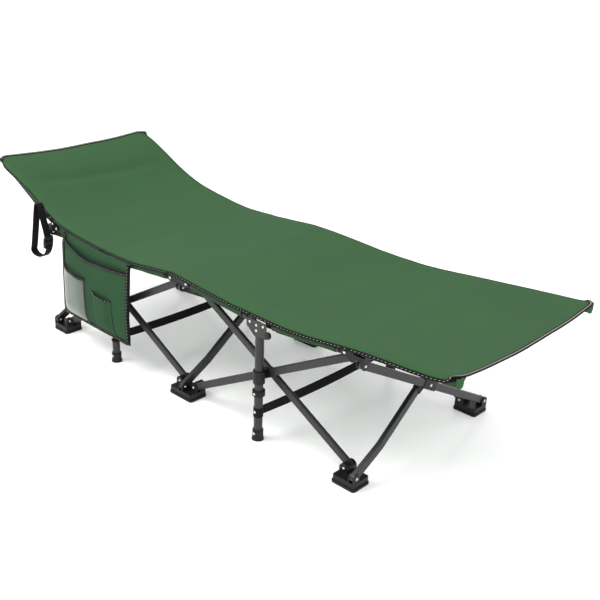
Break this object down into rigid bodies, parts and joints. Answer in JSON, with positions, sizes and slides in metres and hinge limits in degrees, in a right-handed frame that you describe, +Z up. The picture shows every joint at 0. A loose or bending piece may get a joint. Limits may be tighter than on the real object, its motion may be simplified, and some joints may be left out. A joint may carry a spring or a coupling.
{
  "type": "folding camp bed",
  "caption": "Folding camping bed with crossed hinged bars, sliding middle legs, stretched cloth, raised head end and a hanging side organizer.",
  "frame": {"origin": "centre of the footprint of the opened bed, organizer included, on the floor", "axes": "+X towards the foot end, +Z up, the organizer hangs on the -Y side"},
  "size_m": [1.9004, 0.686, 0.5681],
  "materials": {
    "black_nylon": "moulded, fine grain",
    "bar_steel": "satin powder coat",
    "leg_steel": "satin powder coat",
    "rail_steel": "satin powder coat",
    "foot_rubber": "matte moulded",
    "webbing": "woven polyester",
    "buckle_plastic": "satin moulded",
    "bed_fabric": "oxford weave",
    "organizer_fabric": "oxford weave",
    "mesh": "knitted mesh",
    "binding": "folded tape with light stitching",
    "piping": "woven tape",
    "rivet_steel": "bright domed heads"
  },
  "bodies": {
    "foot_block_head_near": {"foot_block_head_near": "black_nylon"},
    "rail_bracket_head_near": {"rail_bracket_head_near": "black_nylon"},
    "foot_block_head_far": {"foot_block_head_far": "black_nylon"},
    "rail_bracket_head_far": {"rail_bracket_head_far": "black_nylon"},
    "cross_bar_head_straight": {"cross_bar_head_straight": "bar_steel"},
    "cross_bar_head_bent": {"cross_bar_head_bent": "bar_steel"},
    "foot_block_middle_near": {"foot_block_middle_near": "black_nylon"},
    "rail_bracket_middle_near": {"rail_bracket_middle_near": "black_nylon"},
    "foot_block_middle_far": {"foot_block_middle_far": "black_nylon"},
    "rail_bracket_middle_far": {"rail_bracket_middle_far": "black_nylon"},
    "cross_bar_middle_straight": {"cross_bar_middle_straight": "bar_steel"},
    "cross_bar_middle_bent": {"cross_bar_middle_bent": "bar_steel"},
    "foot_block_foot_near": {"foot_block_foot_near": "black_nylon"},
    "rail_bracket_foot_near": {"rail_bracket_foot_near": "black_nylon"},
    "foot_block_foot_far": {"foot_block_foot_far": "black_nylon"},
    "rail_bracket_foot_far": {"rail_bracket_foot_far": "black_nylon"},
    "cross_bar_foot_straight": {"cross_bar_foot_straight": "bar_steel"},
    "cross_bar_foot_bent": {"cross_bar_foot_bent": "bar_steel"},
    "side_bar_head_near_inner": {"side_bar_head_near_inner": "bar_steel"},
    "side_bar_head_near_outer": {"side_bar_head_near_outer": "bar_steel"},
    "leg_head_near": {"leg_head_near": "leg_steel", "leg_fittings_head_near": "foot_rubber", "leg_strap_head": "webbing"},
    "leg_collar_head_near": {"leg_collar_head_near": "black_nylon"},
    "rail_outer_head_near": {"rail_outer_head_near": "rail_steel", "bed_cloth_middle_head": "bed_fabric"},
    "rail_inner_head_near": {"rail_inner_head_near": "rail_steel"},
    "rail_end_head_near": {"rail_end_head_near": "rail_steel", "bed_cloth_head": "bed_fabric"},
    "side_bar_head_far_inner": {"side_bar_head_far_inner": "bar_steel"},
    "side_bar_head_far_outer": {"side_bar_head_far_outer": "bar_steel"},
    "leg_head_far": {"leg_head_far": "leg_steel", "leg_fittings_head_far": "foot_rubber"},
    "leg_collar_head_far": {"leg_collar_head_far": "black_nylon"},
    "rail_outer_head_far": {"rail_outer_head_far": "rail_steel"},
    "rail_inner_head_far": {"rail_inner_head_far": "rail_steel"},
    "rail_end_head_far": {"rail_end_head_far": "rail_steel"},
    "side_bar_foot_near_inner": {"side_bar_foot_near_inner": "bar_steel"},
    "side_bar_foot_near_outer": {"side_bar_foot_near_outer": "bar_steel"},
    "leg_foot_near": {"leg_foot_near": "leg_steel", "leg_fittings_foot_near": "foot_rubber", "leg_strap_foot": "webbing"},
    "leg_collar_foot_near": {"leg_collar_foot_near": "black_nylon"},
    "rail_outer_foot_near": {"rail_outer_foot_near": "rail_steel", "bed_cloth_middle_foot": "bed_fabric"},
    "rail_inner_foot_near": {"rail_inner_foot_near": "rail_steel"},
    "rail_end_foot_near": {"rail_end_foot_near": "rail_steel", "bed_cloth_foot": "bed_fabric"},
    "side_bar_foot_far_inner": {"side_bar_foot_far_inner": "bar_steel"},
    "side_bar_foot_far_outer": {"side_bar_foot_far_outer": "bar_steel"},
    "leg_foot_far": {"leg_foot_far": "leg_steel", "leg_fittings_foot_far": "foot_rubber"},
    "leg_collar_foot_far": {"leg_collar_foot_far": "black_nylon"},
    "rail_outer_foot_far": {"rail_outer_foot_far": "rail_steel"},
    "rail_inner_foot_far": {"rail_inner_foot_far": "rail_steel"},
    "rail_end_foot_far": {"rail_end_foot_far": "rail_steel"},
    "organizer": {"organizer": "organizer_fabric"},
    "storage_strap": {"storage_strap": "webbing", "storage_buckle": "buckle_plastic"}
  },
  "joints": [
    {"name": "fold", "type": "hinge", "parent": "foot_block_middle_near", "child": "side_bar_head_near_inner", "pos_m": [-0.032, -0.241, 0.036], "axis": [0, 1, 0], "range_deg": [0, 51.34], "deforming": ["bed_cloth_head", "bed_cloth_middle_head", "bed_cloth_middle_foot", "bed_cloth_foot", "leg_strap_head", "leg_strap_foot"]},
    {"name": "head_near_top_pivot", "type": "hinge", "parent": "side_bar_head_near_inner", "child": "rail_bracket_head_near", "pos_m": [-0.632, -0.241, 0.364], "axis": [0, -1, 0], "range_deg": [0, 51.34]},
    {"name": "head_near_crossing", "type": "hinge", "parent": "side_bar_head_near_inner", "child": "side_bar_head_near_outer", "pos_m": [-0.332, -0.258, 0.2], "axis": [0, -1, 0], "range_deg": [0, 102.67]},
    {"name": "head_near_collar_pivot", "type": "hinge", "parent": "side_bar_head_near_inner", "child": "leg_collar_head_near", "pos_m": [-0.332, -0.241, 0.2], "axis": [0, -1, 0], "range_deg": [0, 51.34]},
    {"name": "head_near_outer_top_pivot", "type": "hinge", "parent": "side_bar_head_near_outer", "child": "rail_bracket_middle_near", "pos_m": [-0.032, -0.258, 0.364], "axis": [0, 1, 0], "range_deg": [0, 51.34]},
    {"name": "head_near_outer_foot_pivot", "type": "hinge", "parent": "side_bar_head_near_outer", "child": "foot_block_head_near", "pos_m": [-0.632, -0.258, 0.036], "axis": [0, 1, 0], "range_deg": [0, 51.34]},
    {"name": "head_cross_straight_top_pivot", "type": "hinge", "parent": "rail_bracket_head_near", "child": "cross_bar_head_straight", "pos_m": [-0.678, -0.281, 0.364], "axis": [-1, 0, 0], "range_deg": [0, 51.34]},
    {"name": "head_cross_straight_foot_pivot", "type": "hinge", "parent": "cross_bar_head_straight", "child": "foot_block_head_far", "pos_m": [-0.678, 0.319, 0.036], "axis": [1, 0, 0], "range_deg": [0, 51.34]},
    {"name": "head_cross_bent_foot_pivot", "type": "hinge", "parent": "foot_block_head_near", "child": "cross_bar_head_bent", "pos_m": [-0.678, -0.281, 0.036], "axis": [1, 0, 0], "range_deg": [0, 51.34]},
    {"name": "foot_near_inner_top_pivot", "type": "hinge", "parent": "rail_bracket_middle_near", "child": "side_bar_foot_near_inner", "pos_m": [0.032, -0.241, 0.364], "axis": [0, 1, 0], "range_deg": [0, 51.34]},
    {"name": "foot_near_inner_foot_pivot", "type": "hinge", "parent": "side_bar_foot_near_inner", "child": "foot_block_foot_near", "pos_m": [0.632, -0.241, 0.036], "axis": [0, -1, 0], "range_deg": [0, 51.34]},
    {"name": "foot_cross_bent_foot_pivot", "type": "hinge", "parent": "foot_block_foot_near", "child": "cross_bar_foot_bent", "pos_m": [0.678, -0.281, 0.036], "axis": [1, 0, 0], "range_deg": [0, 51.34]},
    {"name": "middle_cross_straight_top_pivot", "type": "hinge", "parent": "rail_bracket_middle_near", "child": "cross_bar_middle_straight", "pos_m": [0, -0.281, 0.364], "axis": [-1, 0, 0], "range_deg": [0, 51.34]},
    {"name": "middle_cross_straight_foot_pivot", "type": "hinge", "parent": "cross_bar_middle_straight", "child": "foot_block_middle_far", "pos_m": [0, 0.319, 0.036], "axis": [1, 0, 0], "range_deg": [0, 51.34]},
    {"name": "foot_near_outer_foot_pivot", "type": "hinge", "parent": "foot_block_middle_near", "child": "side_bar_foot_near_outer", "pos_m": [0.032, -0.258, 0.036], "axis": [0, -1, 0], "range_deg": [0, 51.34]},
    {"name": "foot_near_outer_top_pivot", "type": "hinge", "parent": "side_bar_foot_near_outer", "child": "rail_bracket_foot_near", "pos_m": [0.632, -0.258, 0.364], "axis": [0, 1, 0], "range_deg": [0, 51.34]},
    {"name": "foot_near_collar_pivot", "type": "hinge", "parent": "side_bar_foot_near_outer", "child": "leg_collar_foot_near", "pos_m": [0.332, -0.258, 0.2], "axis": [0, 1, 0], "range_deg": [0, 51.34]},
    {"name": "foot_cross_straight_top_pivot", "type": "hinge", "parent": "rail_bracket_foot_near", "child": "cross_bar_foot_straight", "pos_m": [0.678, -0.281, 0.364], "axis": [-1, 0, 0], "range_deg": [0, 51.34]},
    {"name": "foot_cross_straight_foot_pivot", "type": "hinge", "parent": "cross_bar_foot_straight", "child": "foot_block_foot_far", "pos_m": [0.678, 0.319, 0.036], "axis": [1, 0, 0], "range_deg": [0, 51.34]},
    {"name": "middle_cross_bent_foot_pivot", "type": "hinge", "parent": "foot_block_middle_near", "child": "cross_bar_middle_bent", "pos_m": [0, -0.281, 0.036], "axis": [1, 0, 0], "range_deg": [0, 51.34]},
    {"name": "middle_cross_bent_top_pivot", "type": "hinge", "parent": "cross_bar_middle_bent", "child": "rail_bracket_middle_far", "pos_m": [0, 0.319, 0.364], "axis": [-1, 0, 0], "range_deg": [0, 51.34]},
    {"name": "head_far_outer_top_pivot", "type": "hinge", "parent": "rail_bracket_middle_far", "child": "side_bar_head_far_outer", "pos_m": [-0.032, 0.296, 0.364], "axis": [0, -1, 0], "range_deg": [0, 51.34]},
    {"name": "head_far_collar_pivot", "type": "hinge", "parent": "side_bar_head_far_outer", "child": "leg_collar_head_far", "pos_m": [-0.332, 0.296, 0.2], "axis": [0, 1, 0], "range_deg": [0, 51.34]},
    {"name": "foot_far_inner_top_pivot", "type": "hinge", "parent": "rail_bracket_middle_far", "child": "side_bar_foot_far_inner", "pos_m": [0.032, 0.279, 0.364], "axis": [0, 1, 0], "range_deg": [0, 51.34]},
    {"name": "foot_far_collar_pivot", "type": "hinge", "parent": "side_bar_foot_far_inner", "child": "leg_collar_foot_far", "pos_m": [0.332, 0.279, 0.2], "axis": [0, -1, 0], "range_deg": [0, 51.34]},
    {"name": "head_far_inner_foot_pivot", "type": "hinge", "parent": "foot_block_middle_far", "child": "side_bar_head_far_inner", "pos_m": [-0.032, 0.279, 0.036], "axis": [0, 1, 0], "range_deg": [0, 51.34]},
    {"name": "head_far_inner_top_pivot", "type": "hinge", "parent": "side_bar_head_far_inner", "child": "rail_bracket_head_far", "pos_m": [-0.632, 0.279, 0.364], "axis": [0, -1, 0], "range_deg": [0, 51.34]},
    {"name": "foot_far_outer_foot_pivot", "type": "hinge", "parent": "foot_block_middle_far", "child": "side_bar_foot_far_outer", "pos_m": [0.032, 0.296, 0.036], "axis": [0, -1, 0], "range_deg": [0, 51.34]},
    {"name": "foot_far_outer_top_pivot", "type": "hinge", "parent": "side_bar_foot_far_outer", "child": "rail_bracket_foot_far", "pos_m": [0.632, 0.296, 0.364], "axis": [0, 1, 0], "range_deg": [0, 51.34]},
    {"name": "head_near_leg_slide", "type": "slide", "parent": "leg_collar_head_near", "child": "leg_head_near", "axis": [0, 0, -1], "range_m": [0, 0.07546]},
    {"name": "head_far_leg_slide", "type": "slide", "parent": "leg_collar_head_far", "child": "leg_head_far", "axis": [0, 0, -1], "range_m": [0, 0.07546]},
    {"name": "foot_near_leg_slide", "type": "slide", "parent": "leg_collar_foot_near", "child": "leg_foot_near", "axis": [0, 0, -1], "range_m": [0, 0.07546]},
    {"name": "foot_far_leg_slide", "type": "slide", "parent": "leg_collar_foot_far", "child": "leg_foot_far", "axis": [0, 0, -1], "range_m": [0, 0.07546]},
    {"name": "head_near_outer_rail_hinge", "type": "hinge", "parent": "rail_bracket_head_near", "child": "rail_outer_head_near", "pos_m": [-0.629, -0.283, 0.385], "axis": [0, 1, 0], "range_deg": [0, 78.57]},
    {"name": "head_near_end_rail_hinge", "type": "hinge", "parent": "rail_bracket_head_near", "child": "rail_end_head_near", "pos_m": [-0.65, -0.283, 0.398], "axis": [0, 1, 0], "range_deg": [0, 62]},
    {"name": "head_near_inner_rail_hinge", "type": "hinge", "parent": "rail_bracket_middle_near", "child": "rail_inner_head_near", "pos_m": [-0.035, -0.283, 0.385], "axis": [0, -1, 0], "range_deg": [0, 78.57]},
    {"name": "foot_near_outer_rail_hinge", "type": "hinge", "parent": "rail_bracket_foot_near", "child": "rail_outer_foot_near", "pos_m": [0.629, -0.283, 0.385], "axis": [0, -1, 0], "range_deg": [0, 78.57]},
    {"name": "foot_near_end_rail_hinge", "type": "hinge", "parent": "rail_bracket_foot_near", "child": "rail_end_foot_near", "pos_m": [0.65, -0.283, 0.398], "axis": [0, -1, 0], "range_deg": [0, 85.5]},
    {"name": "foot_near_inner_rail_hinge", "type": "hinge", "parent": "rail_bracket_middle_near", "child": "rail_inner_foot_near", "pos_m": [0.035, -0.283, 0.385], "axis": [0, 1, 0], "range_deg": [0, 78.57]},
    {"name": "head_far_outer_rail_hinge", "type": "hinge", "parent": "rail_bracket_head_far", "child": "rail_outer_head_far", "pos_m": [-0.629, 0.321, 0.385], "axis": [0, 1, 0], "range_deg": [0, 78.57]},
    {"name": "head_far_end_rail_hinge", "type": "hinge", "parent": "rail_bracket_head_far", "child": "rail_end_head_far", "pos_m": [-0.65, 0.321, 0.398], "axis": [0, 1, 0], "range_deg": [0, 62]},
    {"name": "head_far_inner_rail_hinge", "type": "hinge", "parent": "rail_bracket_middle_far", "child": "rail_inner_head_far", "pos_m": [-0.035, 0.321, 0.385], "axis": [0, -1, 0], "range_deg": [0, 78.57]},
    {"name": "foot_far_outer_rail_hinge", "type": "hinge", "parent": "rail_bracket_foot_far", "child": "rail_outer_foot_far", "pos_m": [0.629, 0.321, 0.385], "axis": [0, -1, 0], "range_deg": [0, 78.57]},
    {"name": "foot_far_end_rail_hinge", "type": "hinge", "parent": "rail_bracket_foot_far", "child": "rail_end_foot_far", "pos_m": [0.65, 0.321, 0.398], "axis": [0, -1, 0], "range_deg": [0, 85.5]},
    {"name": "foot_far_inner_rail_hinge", "type": "hinge", "parent": "rail_bracket_middle_far", "child": "rail_inner_foot_far", "pos_m": [0.035, 0.321, 0.385], "axis": [0, 1, 0], "range_deg": [0, 78.57]},
    {"name": "organizer_swing", "type": "hinge", "parent": "leg_head_near", "child": "organizer", "pos_m": [-0.4, -0.308, 0.387], "axis": [-1, 0, 0], "range_deg": [0, 70]},
    {"name": "storage_strap_hang", "type": "hinge", "parent": "rail_end_head_near", "child": "storage_strap", "pos_m": [-0.7, -0.3095, 0.449], "axis": [0, -1, 0], "range_deg": [0, 62]}
  ],
  "couplings": [
    {"joint": "head_near_top_pivot", "follows": "fold", "ratio": 1},
    {"joint": "head_near_crossing", "follows": "fold", "ratio": 2},
    {"joint": "head_near_collar_pivot", "follows": "fold", "ratio": 1},
    {"joint": "head_near_outer_top_pivot", "follows": "fold", "ratio": 1},
    {"joint": "head_near_outer_foot_pivot", "follows": "fold", "ratio": 1},
    {"joint": "head_cross_straight_top_pivot", "follows": "fold", "ratio": 1},
    {"joint": "head_cross_straight_foot_pivot", "follows": "fold", "ratio": 1},
    {"joint": "head_cross_bent_foot_pivot", "follows": "fold", "ratio": 1},
    {"joint": "foot_near_inner_top_pivot", "follows": "fold", "ratio": 1},
    {"joint": "foot_near_inner_foot_pivot", "follows": "fold", "ratio": 1},
    {"joint": "foot_cross_bent_foot_pivot", "follows": "fold", "ratio": 1},
    {"joint": "middle_cross_straight_top_pivot", "follows": "fold", "ratio": 1},
    {"joint": "middle_cross_straight_foot_pivot", "follows": "fold", "ratio": 1},
    {"joint": "foot_near_outer_foot_pivot", "follows": "fold", "ratio": 1},
    {"joint": "foot_near_outer_top_pivot", "follows": "fold", "ratio": 1},
    {"joint": "foot_near_collar_pivot", "follows": "fold", "ratio": 1},
    {"joint": "foot_cross_straight_top_pivot", "follows": "fold", "ratio": 1},
    {"joint": "foot_cross_straight_foot_pivot", "follows": "fold", "ratio": 1},
    {"joint": "middle_cross_bent_foot_pivot", "follows": "fold", "ratio": 1},
    {"joint": "middle_cross_bent_top_pivot", "follows": "fold", "ratio": 1},
    {"joint": "head_far_outer_top_pivot", "follows": "fold", "ratio": 1},
    {"joint": "head_far_collar_pivot", "follows": "fold", "ratio": 1},
    {"joint": "foot_far_inner_top_pivot", "follows": "fold", "ratio": 1},
    {"joint": "foot_far_collar_pivot", "follows": "fold", "ratio": 1},
    {"joint": "head_far_inner_foot_pivot", "follows": "fold", "ratio": 1},
    {"joint": "head_far_inner_top_pivot", "follows": "fold", "ratio": 1},
    {"joint": "foot_far_outer_foot_pivot", "follows": "fold", "ratio": 1},
    {"joint": "foot_far_outer_top_pivot", "follows": "fold", "ratio": 1},
    {"joint": "head_near_leg_slide", "follows": "fold", "m_per_rad": 0.084216},
    {"joint": "head_far_leg_slide", "follows": "fold", "m_per_rad": 0.084216},
    {"joint": "foot_near_leg_slide", "follows": "fold", "m_per_rad": 0.084216},
    {"joint": "foot_far_leg_slide", "follows": "fold", "m_per_rad": 0.084216},
    {"joint": "head_near_outer_rail_hinge", "follows": "fold", "ratio": 1.5305},
    {"joint": "head_near_end_rail_hinge", "follows": "fold", "ratio": 1.2077},
    {"joint": "head_near_inner_rail_hinge", "follows": "fold", "ratio": 1.5305},
    {"joint": "foot_near_outer_rail_hinge", "follows": "fold", "ratio": 1.5305},
    {"joint": "foot_near_end_rail_hinge", "follows": "fold", "ratio": 1.6655},
    {"joint": "foot_near_inner_rail_hinge", "follows": "fold", "ratio": 1.5305},
    {"joint": "head_far_outer_rail_hinge", "follows": "fold", "ratio": 1.5305},
    {"joint": "head_far_end_rail_hinge", "follows": "fold", "ratio": 1.2077},
    {"joint": "head_far_inner_rail_hinge", "follows": "fold", "ratio": 1.5305},
    {"joint": "foot_far_outer_rail_hinge", "follows": "fold", "ratio": 1.5305},
    {"joint": "foot_far_end_rail_hinge", "follows": "fold", "ratio": 1.6655},
    {"joint": "foot_far_inner_rail_hinge", "follows": "fold", "ratio": 1.5305},
    {"joint": "storage_strap_hang", "follows": "fold", "ratio": 1.2077}
  ]
}
